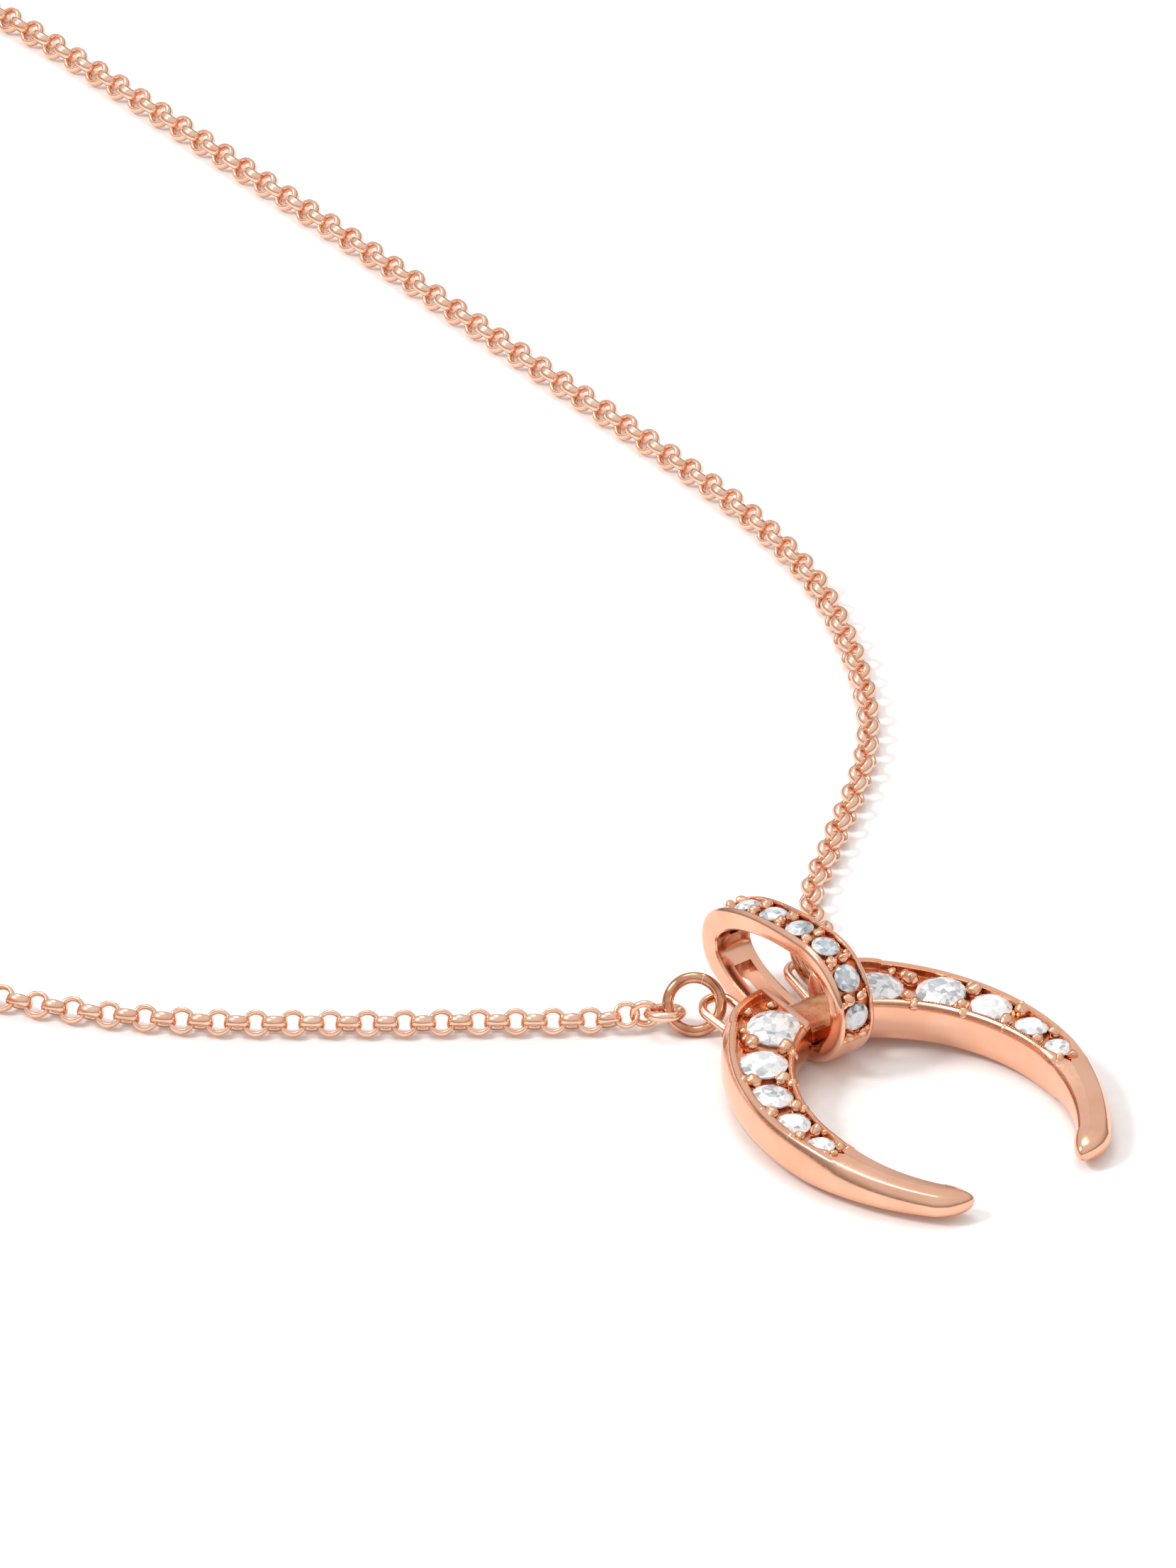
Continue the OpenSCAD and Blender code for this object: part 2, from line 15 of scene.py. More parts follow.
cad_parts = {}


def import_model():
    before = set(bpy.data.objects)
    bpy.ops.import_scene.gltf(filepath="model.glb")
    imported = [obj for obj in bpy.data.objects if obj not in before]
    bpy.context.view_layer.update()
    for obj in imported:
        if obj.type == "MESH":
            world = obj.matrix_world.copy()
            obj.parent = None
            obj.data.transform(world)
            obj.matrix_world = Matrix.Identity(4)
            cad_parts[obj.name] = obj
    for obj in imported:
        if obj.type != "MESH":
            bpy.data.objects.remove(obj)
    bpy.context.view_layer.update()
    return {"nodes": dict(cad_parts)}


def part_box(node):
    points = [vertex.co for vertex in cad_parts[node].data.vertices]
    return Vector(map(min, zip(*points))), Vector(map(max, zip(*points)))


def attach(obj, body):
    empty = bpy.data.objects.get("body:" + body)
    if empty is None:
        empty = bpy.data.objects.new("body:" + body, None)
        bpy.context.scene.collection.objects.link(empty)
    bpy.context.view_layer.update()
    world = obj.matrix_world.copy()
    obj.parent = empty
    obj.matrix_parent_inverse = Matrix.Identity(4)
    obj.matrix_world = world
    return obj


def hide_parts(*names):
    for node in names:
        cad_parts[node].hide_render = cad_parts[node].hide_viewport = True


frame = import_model()

MM = 0.001

# ---------------------------------------------------------------- sizes

HORN_TILT = math.radians(3.4)
HORN_LIFT = 0.3
HORN_T = 2.1
BAIL_FAR_END = 14.7
Y_MID = BAIL_FAR_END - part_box("bail")[1][1] / MM
OUTER_C = np.array([3.75, -0.3])
OUTER_R = 11.72
INNER_C = np.array([2.67, -1.73])
INNER_R = 8.6
SHOULDER_C = np.array([-1.6, 5.0])
SHOULDER_R = 4.4
NECK_HALF = 1.35
RIM = 0.36
CHANNEL_DEPTH = 0.38
TIP_CENTRE = np.array([-3.46, -8.42])
TIP_R = 0.42
STONES = [(2.98, 6.63, 2.62), (5.24, 4.6, 2.36), (6.46, 2.33, 1.98), (7.02, 0.0, 1.62), (7.0, -2.05, 1.36)]
BAIL_HALF = 1.075
BAIL_WALL = 0.93
BAIL_PIVOT = np.array([7.1, 3.1])
BAIL_NEAR = 3.1
BAIL_REACH = 7.6
BAIL_PITCH = 2.02
CHAIN_D = 1.3
PITCH = 0.865
COIL_R = 7.25
TAIL_ANGLE = math.radians(52.5)


def at_row(p):
    """From the horn's own origin to the part's, in millimetres."""
    return np.array([p[0], p[1] - Y_MID, p[2]])


def in_horn(x, y, z):
    """From the horn's tilted plane to the part's origin."""
    c, s = math.cos(HORN_TILT), math.sin(HORN_TILT)
    return at_row((x, y * c - z * s, y * s + z * c + HORN_LIFT))


# ---------------------------------------------------------------- camera

def camera():
    """A long lens from above, seen from the side of the horn's tips."""
    data = bpy.data.cameras.new("camera")
    data.lens = 581.1
    data.sensor_width = 36
    data.clip_start = 0.05
    data.clip_end = 10
    cam = bpy.data.objects.new("camera", data)
    bpy.context.scene.collection.objects.link(cam)
    turn, rise = math.radians(37.5), math.radians(31.4)
    look = Vector((math.sin(turn) * math.cos(rise), math.cos(turn) * math.cos(rise), -math.sin(rise)))
    aim = Vector((6.0146, 32.487 - Y_MID, 0)) * MM
    cam.location = aim - look * 1.2
    cam.rotation_mode = "QUATERNION"
    cam.rotation_quaternion = look.to_track_quat("-Z", "Y")
    bpy.context.scene.camera = cam


camera()

# ---------------------------------------------------------------- materials


def colour(code):
    """An sRGB hex colour as linear RGBA."""
    out = []
    for i in (1, 3, 5):
        v = int(code[i:i + 2], 16) / 255
        out.append(v / 12.92 if v <= 0.04045 else ((v + 0.055) / 1.055) ** 2.4)
    return (*out, 1.0)


def add(tree, kind, settings=None, inputs=None, **links):
    """Adds a node with its settings, its input values and its links, from (node, output) pairs."""
    n = tree.nodes.new(kind)
    for key, value in (settings or {}).items():
        setattr(n, key, value)
    for key, value in (inputs or {}).items():
        n.inputs[key].default_value = value
    for key, source in links.items():
        name = key.replace("_", " ")
        socket = n.inputs[int(key[3:])] if key.startswith("in_") else n.inputs[name]
        tree.links.new(source, socket)
    return n


def material(name):
    m = bpy.data.materials.new(name)
    m.use_nodes = True
    m.node_tree.nodes.clear()
    return m, m.node_tree


def ramp(tree, source, stops):
    n = add(tree, "ShaderNodeValToRGB")
    e = n.color_ramp.elements
    while len(e) < len(stops):
        e.new(0.5)
    for el, (pos, col) in zip(e, stops):
        el.position = pos
        el.color = col
    tree.links.new(source, n.inputs["Fac"])
    return n


def rose_gold(name, light, deep, rough, grain_mm, bump):
    """Rose gold plate over cast brass, polished by hand. It gives clear but slightly soft
    reflections, with faint polishing waves and a warmer tone where the plate is thin."""
    m, t = material(name)
    place = add(t, "ShaderNodeTexCoord")
    waviness = {"Scale": 1 / (grain_mm * MM), "Detail": 3.0, "Roughness": 0.55}
    wave = add(t, "ShaderNodeTexNoise", None, waviness,
               Vector=place.outputs["Object"])
    fine = add(t, "ShaderNodeTexNoise", None, {"Scale": 1 / (0.12 * MM), "Detail": 2.0},
               Vector=place.outputs["Object"])
    tone = ramp(t, wave.outputs["Fac"], [(0.3, colour(deep)), (0.62, colour(light))])
    gloss = add(t, "ShaderNodeMapRange", None, {"From Min": 0.3, "From Max": 0.7, "To Min": rough * 0.75,
                "To Max": rough * 1.3}, Value=fine.outputs["Fac"])
    hills = add(t, "ShaderNodeBump", None, {"Strength": bump, "Distance": 0.02 * MM},
                Height=wave.outputs["Fac"])
    s = add(t, "ShaderNodeBsdfPrincipled", None, {"Metallic": 1.0}, Base_Color=tone.outputs["Color"],
            Roughness=gloss.outputs["Result"], Normal=hills.outputs["Normal"])
    add(t, "ShaderNodeOutputMaterial", None, None, Surface=s.outputs["BSDF"])
    return m


def cut_stone(name, low, mid, high):
    """Facet-cut white zirconia. Every facet throws back a different part of the room, so each has
    its own grey, broken up by the reflections from the facets behind it."""
    m, t = material(name)
    place = add(t, "ShaderNodeTexCoord")
    facet = add(t, "ShaderNodeAttribute", {"attribute_name": "facet"})
    shards = add(t, "ShaderNodeTexVoronoi", {"feature": "F1"}, {"Scale": 1 / (0.3 * MM), "Randomness": 1.0},
                 Vector=place.outputs["Object"])
    shard = add(t, "ShaderNodeSeparateColor", None, None, Color=shards.outputs["Color"])
    mixed = add(t, "ShaderNodeMix", {"data_type": "FLOAT"}, {0: 0.5}, in_2=facet.outputs["Fac"],
                in_3=shard.outputs["Red"])
    tone = ramp(t, mixed.outputs[0], [(0.1, colour(low)), (0.38, colour(mid)), (0.7, colour(high))])
    polish = {"Metallic": 0.0, "Roughness": 0.06, "IOR": 2.1, "Coat Weight": 0.6, "Coat Roughness": 0.02}
    s = add(t, "ShaderNodeBsdfPrincipled", None, polish, Base_Color=tone.outputs["Color"])
    add(t, "ShaderNodeOutputMaterial", None, None, Surface=s.outputs["BSDF"])
    return m


GOLD = rose_gold("rose_gold_polished", "#F3BFA3", "#ECB394", 0.17, 2.6, 0.05)
# Rougher, coarser-grained rose gold for the channels and the neck bar; its darker, more orange colour is
# painted shade for those sunk and covered places.
GOLD_PAINTED_SHADE = rose_gold("rose_gold_rough_with_painted_shade", "#EBA983", "#CE8459", 0.26, 0.5, 0.5)
GOLD_BEAD = rose_gold("rose_gold_raised_grain", "#F5C4A6", "#EAAA84", 0.2, 0.4, 0.3)
GOLD_RING = rose_gold("rose_gold_ring_wire", "#DDA585", "#B97C5B", 0.14, 0.9, 0.12)
GOLD_WIRE = rose_gold("rose_gold_drawn_wire", "#F8CFB7", "#F0BDA0", 0.2, 0.9, 0.1)
STONE = cut_stone("white_zirconia", "#9BA1A5", "#DADDDF", "#FFFFFF")
STONE_GREY = cut_stone("white_zirconia_in_shade", "#6B7780", "#ABB6BE", "#E8ECEF")
SPRING = rose_gold("spring_wire", "#C9C9C9", "#A8A8A8", 0.3, 0.5, 0.1)

# ---------------------------------------------------------------- mesh helpers


def obj_from(name, verts, faces, mats, face_mats=None, sharp=38):
    """A piece from points in millimetres, smooth except where its faces meet sharply."""
    mesh = bpy.data.meshes.new(name)
    mesh.from_pydata([tuple(v * MM for v in p) for p in verts], [], faces)
    for m in mats:
        mesh.materials.append(m)
    if face_mats is not None:
        mesh.polygons.foreach_set("material_index", face_mats)
    o = bpy.data.objects.new(name, mesh)
    bpy.context.scene.collection.objects.link(o)
    tidy(o, sharp)
    return o


def tidy(o, sharp=38):
    """Merges doubles, turns faces outwards and marks the sharp edges."""
    bm = bmesh.new()
    bm.from_mesh(o.data)
    bmesh.ops.remove_doubles(bm, verts=bm.verts, dist=0.0004 * MM)
    bmesh.ops.dissolve_degenerate(bm, edges=bm.edges, dist=0.0002 * MM)
    bmesh.ops.recalc_face_normals(bm, faces=bm.faces)
    for f in bm.faces:
        f.smooth = True
    for e in bm.edges:
        e.smooth = len(e.link_faces) == 2 and e.calc_face_angle(3.2) < math.radians(sharp)
    bm.to_mesh(o.data)
    bm.free()


def grid(rows, closed_u=False, closed_v=True, cap=True):
    """Faces of a grid of points, rows by columns, with flat caps on its open ends."""
    n, m = len(rows), len(rows[0])
    verts = [tuple(p) for row in rows for p in row]
    faces = []
    for i in range(n if closed_u else n - 1):
        j2 = (i + 1) % n
        for k in range(m if closed_v else m - 1):
            k2 = (k + 1) % m
            faces.append((i * m + k, i * m + k2, j2 * m + k2, j2 * m + k))
    if cap and not closed_u:
        faces.append(tuple(range(m - 1, -1, -1)))
        faces.append(tuple((n - 1) * m + k for k in range(m)))
    return verts, faces


def tube(name, path, radius, mat, sides=16, closed=False):
    """A round wire along a path."""
    path = [Vector(p) for p in path]
    n = len(path)
    side = None
    rows = []
    for i in range(n):
        a = path[(i - 1) % n] if closed else path[max(i - 1, 0)]
        b = path[(i + 1) % n] if closed else path[min(i + 1, n - 1)]
        d = (b - a).normalized()
        if side is None:
            side = d.cross(Vector((0.1, 0.2, 1))).normalized()
        side = (side - d * side.dot(d)).normalized()
        up = side.cross(d)
        rows.append([path[i] + radius * (math.cos(q) * side + math.sin(q) * up)
                     for q in (2 * math.pi * k / sides for k in range(sides))])
    verts, faces = grid(rows, closed_u=closed)
    return obj_from(name, verts, faces, [mat])


def ring(name, centre, axis, r, wire, mat, gap=0.0, seam=0.0, segs=96, sides=20):
    """A wire ring round an axis, closed, or cut through at the seam angle."""
    q = Vector((0, 0, 1)).rotation_difference(Vector(axis).normalized())
    c = Vector(at_row(centre))
    rows = []
    span = 2 * math.pi - gap / r
    count = segs if gap == 0 else segs + 1
    for i in range(count):
        a = seam + gap / r / 2 + span * i / segs
        out = Vector((math.cos(a), math.sin(a), 0))
        rows.append([c + q @ (out * (r + wire * math.cos(b)) + Vector((0, 0, wire * math.sin(b))))
                     for b in (2 * math.pi * k / sides for k in range(sides))])
    verts, faces = grid(rows, closed_u=gap == 0)
    return obj_from(name, verts, faces, [mat])


def placed(piece, body, slot, *nodes):
    """Rides on its body and stands for its CAD nodes. Its slot is not used."""
    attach(piece, body)
    if nodes:
        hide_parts(*nodes)
    return piece


# ---------------------------------------------------------------- geometry nodes

def node_group(name, inputs):
    t = bpy.data.node_groups.new(name, "GeometryNodeTree")
    t.interface.new_socket("Geometry", in_out="INPUT", socket_type="NodeSocketGeometry")
    for label, kind in inputs:
        t.interface.new_socket(label, in_out="INPUT", socket_type=kind)
    t.interface.new_socket("Geometry", in_out="OUTPUT", socket_type="NodeSocketGeometry")
    return t, add(t, "NodeGroupInput")


def grown(name, points, edges, tree, values, attributes=None):
    """Runs a tree on a set of points and keeps the result as a plain mesh."""
    base = bpy.data.meshes.new(name + "_points")
    base.from_pydata([tuple(v * MM for v in p) for p in points], edges, [])
    for key, data in (attributes or {}).items():
        layer = base.attributes.new(key, "FLOAT", "POINT")
        layer.data.foreach_set("value", data)
    o = bpy.data.objects.new(name, base)
    bpy.context.scene.collection.objects.link(o)
    mod = o.modifiers.new("grow", "NODES")
    mod.node_group = tree
    for item in tree.interface.items_tree:
        if item.in_out == "INPUT" and item.name in values:
            mod[item.identifier] = values[item.name]
    done = o.evaluated_get(bpy.context.evaluated_depsgraph_get())
    mesh = bpy.data.meshes.new_from_object(done)
    mesh.name = name
    o.modifiers.remove(mod)
    o.data = mesh
    bpy.data.meshes.remove(base)
    return o


def belcher_tree():
    """Round links along a line, each turned a quarter from the last."""
    sizes = ("Pitch", "Middle Radius", "Half Width", "Half Thickness")
    t, g = node_group("belcher_links", [*((size, "NodeSocketFloat") for size in sizes),
                                        ("Material", "NodeSocketMaterial")])
    line = add(t, "GeometryNodeMeshToCurve", None, None, Mesh=g.outputs["Geometry"])
    even = add(t, "GeometryNodeResampleCurve", {"mode": "LENGTH"}, None, Curve=line.outputs["Curve"],
               Length=g.outputs["Pitch"])
    hoop = add(t, "GeometryNodeCurvePrimitiveCircle", None, {"Resolution": 18},
               Radius=g.outputs["Middle Radius"])
    hoop_up = add(t, "GeometryNodeSetCurveNormal", {"mode": "Z_UP"}, None, Curve=hoop.outputs["Curve"])
    wire = add(t, "GeometryNodeCurvePrimitiveCircle", None, {"Resolution": 8, "Radius": 1.0})
    oval_size = add(t, "ShaderNodeCombineXYZ", None, {"Z": 1.0}, X=g.outputs["Half Thickness"],
                    Y=g.outputs["Half Width"])
    band = add(t, "GeometryNodeTransform", None, None, Geometry=wire.outputs["Curve"],
               Scale=oval_size.outputs["Vector"])
    link = add(t, "GeometryNodeCurveToMesh", None, None, Curve=hoop_up.outputs["Curve"],
               Profile_Curve=band.outputs["Geometry"])
    along = add(t, "GeometryNodeInputTangent")
    first = add(t, "FunctionNodeAlignRotationToVector", {"axis": "X"}, None, Vector=along.outputs["Tangent"])
    second = add(t, "FunctionNodeAlignRotationToVector", {"axis": "Z", "pivot_axis": "X"},
                 {"Vector": (0, 0, 1)}, Rotation=first.outputs["Rotation"])
    index = add(t, "GeometryNodeInputIndex")
    odd = add(t, "ShaderNodeMath", {"operation": "MODULO"}, {1: 2.0}, in_0=index.outputs["Index"])
    turn = add(t, "ShaderNodeMath", {"operation": "MULTIPLY_ADD"}, {1: math.pi / 2, 2: -math.pi / 4},
               in_0=odd.outputs["Value"])
    euler = add(t, "ShaderNodeCombineXYZ", None, None, X=turn.outputs["Value"])
    spin = add(t, "FunctionNodeEulerToRotation", None, None, Euler=euler.outputs["Vector"])
    both = add(t, "FunctionNodeRotateRotation", {"rotation_space": "LOCAL"}, None,
               Rotation=second.outputs["Rotation"], Rotate_By=spin.outputs["Rotation"])
    links = add(t, "GeometryNodeInstanceOnPoints", None, None, Points=even.outputs["Curve"],
                Instance=link.outputs["Mesh"], Rotation=both.outputs["Rotation"])
    real = add(t, "GeometryNodeRealizeInstances", None, None, Geometry=links.outputs["Instances"])
    smooth = add(t, "GeometryNodeSetShadeSmooth", None, None, Geometry=real.outputs["Geometry"])
    paint = add(t, "GeometryNodeSetMaterial", None, None, Geometry=smooth.outputs["Geometry"],
                Material=g.outputs["Material"])
    add(t, "NodeGroupOutput", None, None, Geometry=paint.outputs["Geometry"])
    return t


def bead_tree():
    """A small ball on each point, as large as the point's size says."""
    t, g = node_group("raised_beads", [("Fineness", "NodeSocketInt"), ("Unevenness", "NodeSocketFloat"),
                                       ("Material", "NodeSocketMaterial")])
    ball = add(t, "GeometryNodeMeshIcoSphere", None, {"Radius": 1.0}, Subdivisions=g.outputs["Fineness"])
    size = add(t, "GeometryNodeInputNamedAttribute", {"data_type": "FLOAT"}, {"Name": "size"})
    balls = add(t, "GeometryNodeInstanceOnPoints", None, None, Points=g.outputs["Geometry"],
                Instance=ball.outputs["Mesh"], Scale=size.outputs["Attribute"])
    real = add(t, "GeometryNodeRealizeInstances", None, None, Geometry=balls.outputs["Instances"])
    lumps = add(t, "ShaderNodeTexNoise", {"noise_dimensions": "3D"}, {"Scale": 1 / (0.5 * MM), "Detail": 1.0})
    spread = add(t, "ShaderNodeVectorMath", {"operation": "SUBTRACT"}, {1: (0.5, 0.5, 0.5)},
                 in_0=lumps.outputs["Color"])
    shift = add(t, "ShaderNodeVectorMath", {"operation": "SCALE"}, None, in_0=spread.outputs["Vector"],
                Scale=g.outputs["Unevenness"])
    worn = add(t, "GeometryNodeSetPosition", None, None, Geometry=real.outputs["Geometry"],
               Offset=shift.outputs["Vector"])
    smooth = add(t, "GeometryNodeSetShadeSmooth", None, None, Geometry=worn.outputs["Geometry"])
    paint = add(t, "GeometryNodeSetMaterial", None, None, Geometry=smooth.outputs["Geometry"],
                Material=g.outputs["Material"])
    add(t, "NodeGroupOutput", None, None, Geometry=paint.outputs["Geometry"])
    return t


BELCHER = belcher_tree()
BEADS = bead_tree()


def beads(name, spots, mat, fineness=3):
    """spots are (point, radius) in millimetres, in the part's frame."""
    unevenness = 0.3 * MM if fineness > 2 else 0.0
    return grown(name, [p for p, _ in spots], [], BEADS,
                 {"Fineness": fineness, "Unevenness": unevenness, "Material": mat},
                 {"size": [r * MM for _, r in spots]})


# ---------------------------------------------------------------- chain, the two cords

LIE = CHAIN_D / 2
LEFT_ROUTE = [(-6.0, 13.88, 0.86), (-6.3, 14.06, 0.74), (-6.9, 14.4, LIE), (-9.6, 16.3, LIE),
              (-12.3, 18.3, LIE), (-15.1, 20.3, LIE), (-17.8, 22.4, LIE), (-20.5, 24.5, LIE),
              (-23, 26.8, LIE), (-25.3, 29.3, LIE), (-27.4, 32.1, LIE), (-29.3, 35.2, LIE)]
RIGHT_ROUTE = [(5.7, 14.0, 0.86), (5.9, 14.45, 0.72), (6.3, 15.4, LIE), (7, 16.6, LIE), (8.4, 18.1, LIE),
               (9.7, 19.1, LIE), (12.1, 21.1, LIE), (14.7, 23.2, LIE), (17.2, 25.5, LIE), (19.6, 28.3, LIE),
               (21.3, 30.9, LIE), (22.9, 33.9, LIE), (24.9, 38.5, LIE), (25.9, 42, LIE), (26.7, 47.2, LIE),
               (27, 54, LIE), (27.1, 63, LIE), (27.2, 70, LIE), (27.3, 78, LIE), (27.3, 87, LIE),
               (27.3, 95, LIE),
               (27.2, 103, LIE), (26.9, 109, LIE)]
LEFT_COIL = (-38.5, 35, 32, 3)
RIGHT_COIL = (18.8, 113, 3, 2)
TURN_OUT, TURN_IN = COIL_R + LIE, COIL_R - LIE
TAIL_OUT = (math.cos(TAIL_ANGLE), math.sin(TAIL_ANGLE))
TAIL_END = 7.2
RING_GAP = 0.08
TAIL = [(3.2, 1.5), (4.2, 1.05), (5.2, 0.75), (6.2, LIE), (TAIL_END, LIE)]


def ease(x):
    x = min(max(x, 0), 1)
    return x * x * (3 - 2 * x)


def coil_points(coil):
    """Turns beside and on each other: outer, inner, up, and out again on top."""
    cx, cy, start, turns = coil
    total = math.degrees(TAIL_ANGLE) - start + 360 * turns
    out = []
    steps = int(total / 9)
    for i in range(steps + 1):
        a = total * i / steps
        inward = ease((a - 300) / 80)
        up = ease((a - (total - 420 if turns > 2 else total - 150)) / 60)
        outward = ease((a - (total - 110)) / 90)
        r = TURN_OUT - (TURN_OUT - TURN_IN) * (inward - outward)
        q = math.radians(start + a)
        out.append((cx + r * math.cos(q), cy + r * math.sin(q), LIE + CHAIN_D * up))
    return out


def tail_spot(coil, d, z):
    """A point of the straight tail that leaves a coil, at a distance along it."""
    return (coil[0] + TURN_OUT * TAIL_OUT[0] - d * TAIL_OUT[1],
            coil[1] + TURN_OUT * TAIL_OUT[1] + d * TAIL_OUT[0], z)


def flowing(points, step=0.5):
    """A smooth line through points, spaced evenly."""
    p = np.array(points, float)
    dense = []
    for i in range(len(p) - 1):
        a, b = p[max(i - 1, 0)], p[i]
        c, d = p[i + 1], p[min(i + 2, len(p) - 1)]
        n = max(2, int(np.linalg.norm(c - b) / 0.15))
        for k in range(n):
            t = k / n
            dense.append(0.5 * (2 * b + (c - a) * t + (2 * a - 5 * b + 4 * c - d) * t ** 2
                                + (3 * b - a - 3 * c + d) * t ** 3))
    dense.append(p[-1])
    dense = np.array(dense)
    run = np.concatenate([[0], np.cumsum(np.linalg.norm(np.diff(dense, axis=0), axis=1))])
    want = np.linspace(0, run[-1], int(run[-1] / step) + 1)
    return [np.array([np.interp(w, run, dense[:, k]) for k in range(3)]) for w in want]


def strand(name, route, coil, nodes):
    """One strand of links, with the line through their middles in metres."""
    tail = [tail_spot(coil, d, z) for d, z in TAIL]
    line = [at_row(p) for p in flowing([*route, *coil_points(coil), *tail])]
    piece = grown(name, line, [(i, i + 1) for i in range(len(line) - 1)], BELCHER,
                  {"Pitch": PITCH * MM, "Middle Radius": 0.53 * MM, "Half Width": 0.26 * MM,
                   "Half Thickness": 0.13 * MM, "Material": GOLD_WIRE})
    placed(piece, "pendant", "gold", *nodes)
    return piece, [tuple(p * MM for p in q) for q in line]


left_chain, left_line = strand("left_chain_links", LEFT_ROUTE, LEFT_COIL, ["left_chain", "left_chain_coil"])
right_chain, right_line = strand("right_chain_links", RIGHT_ROUTE, RIGHT_COIL,
                                 ["right_chain", "right_chain_coil"])

# ---------------------------------------------------------------- horn


def arm_dir(a):
    """Direction from the outer centre to the left arm at an angle above the crosswise line."""
    return np.array([-math.cos(a), math.sin(a)])


def inner_reach(a):
    """How far from the outer centre the inner edge lies at that angle."""
    off = INNER_C - OUTER_C
    d = arm_dir(a)
    cross = off[0] * d[1] - off[1] * d[0]
    return off @ d + math.sqrt(INNER_R ** 2 - cross ** 2)


def inner_at(x):
    """The inner edge's point at a distance across, above the centre."""
    return np.array([x, INNER_C[1] + math.sqrt(INNER_R ** 2 - (x - INNER_C[0]) ** 2)])


def shoulder_at(x):
    """The shoulder's point at a distance across."""
    return np.array([x, SHOULDER_C[1] + math.sqrt(SHOULDER_R ** 2 - (x - SHOULDER_C[0]) ** 2)])


def neck_pairs():
    """The plate's blunt end by the neck: a lowered end wall, a brow, a flat lip, then the channel."""
    steps = [(0.0, 0, "end"), (0.06, 0, "brow"), (0.15, 0, ""), (0.5, 0, ""), (0.57, 0.98, ""), (0.6, 1, "")]
    return [(shoulder_at(x), inner_at(x), opened, mark)
            for x, opened, mark in ((-NECK_HALF - step, opened, mark) for step, opened, mark in steps)]


def shoulder_pairs(start, join):
    """From the lip along the shoulder's arc to where the arm's own arc begins."""
    start_p, start_q = start[:2]
    end_p = OUTER_C + OUTER_R * arm_dir(join)
    end_q = OUTER_C + inner_reach(join) * arm_dir(join)
    g_start = math.atan2(*(start_p - SHOULDER_C)[::-1])
    g_end = math.atan2(*(end_p - SHOULDER_C)[::-1])
    count = 24
    pairs = []
    for i in range(1, count + 1):
        k = i / count
        g = g_start + (g_end - g_start) * k
        p = SHOULDER_C + SHOULDER_R * np.array([math.cos(g), math.sin(g)])
        p = p * (1 - k ** 6) + end_p * k ** 6
        q = end_q
        if k < 1:
            q = start_q * (1 - k) + inner_at(start_q[0] + (end_q[0] - start_q[0]) * k) * k
        pairs.append((p, q, 1, ""))
    return pairs


def arc_pairs(join, tip):
    """Along the arm's own arc. The channel narrows to a point past the last stone."""
    close, point = math.radians(-9.5), math.radians(-17)
    count = 140
    pairs = []
    for i in range(1, count + 1):
        a = join + (tip - join) * i / count
        opened = 1 if a > close else max(0.0, 1 - (close - a) / (close - point))
        pairs.append((OUTER_C + OUTER_R * arm_dir(a), OUTER_C + inner_reach(a) * arm_dir(a), opened, ""))
    return pairs


def tip_pairs(last):
    """The tip, which runs out in one rounded curve. Its mark is how far along it a section is."""
    p, q = last[:2]
    mid = (p + q) / 2
    half = np.linalg.norm(p - q) / 2
    reach = np.linalg.norm(TIP_CENTRE - mid)
    heading = (TIP_CENTRE - mid) / reach
    across = (p - q) / np.linalg.norm(p - q)
    side = np.array([heading[1], -heading[0]])
    if side @ across < 0:
        side = -side
    count = 32
    pairs = []
    for i in range(1, count + 1):
        k = math.sin(math.pi / 2 * i / count)
        w = max(half * (1 - k ** 1.7) ** 0.6, 0.012)
        t = across * (1 - k) + side * k
        t /= np.linalg.norm(t)
        m = mid + heading * (reach + TIP_R) * k
        pairs.append((m + t * w, m - t * w, 0, ("cap", k)))
    return pairs


def edge_pairs():
    """Outer and inner edge points along the left arm from its neck to its tip, each with how open
    the channel is there (0 to 1) and a mark for the sections that are shaped on their own."""
    join, tip = math.radians(45.5), math.radians(-42)
    pairs = neck_pairs()
    pairs += shoulder_pairs(pairs[-1], join)
    pairs += arc_pairs(join, tip)
    return pairs + tip_pairs(pairs[-1])


def channel_line(w, opened, deep, crown, zt):
    """The top of a section: flat rims beside a sunk channel, or a soft ridge where it is closed."""
    m = w / 2
    half_open = max(opened * (m - RIM), 0.03)
    foot = 0.06 * min(1, half_open / 0.3)
    rim_in = 0.05 + min(0.12, w * 0.08)
    ridge = zt + crown
    left = [(m - half_open, ridge - 0.02), (m - half_open + 0.03, ridge - deep * 0.9),
            (m - half_open + foot, ridge - deep)]
    right = [(m + half_open - foot, ridge - deep), (m + half_open - 0.03, ridge - deep * 0.9),
             (m + half_open, ridge - 0.02)]
    edge = 0.24 if w > 1.8 else 0.16 * w / 1.8
    return [(rim_in, zt + crown * 0.25), (max(m - half_open - 0.1, rim_in + 0.01), zt + crown * 0.7), *left,
            (m, ridge - deep), *right, (min(m + half_open + 0.1, w - edge - 0.04), zt + crown * 0.7),
            (w - edge, zt + crown * 0.2), (w - edge * 0.45, zt - 0.07), (w - edge * 0.14, zt - 0.22)]


def rounded(off, z, middle, half, amount):
    """Moves a section's point towards a squarish oval of the same size."""
    a = math.atan2((z - middle[1]) / half[1], (off - middle[0]) / half[0])
    c, s = math.cos(a), math.sin(a)
    oval_off = middle[0] + half[0] * math.copysign(abs(c) ** 0.8, c)
    oval_z = middle[1] + half[1] * math.copysign(abs(s) ** 0.8, s)
    return off + (oval_off - off) * amount, z + (oval_z - z) * amount


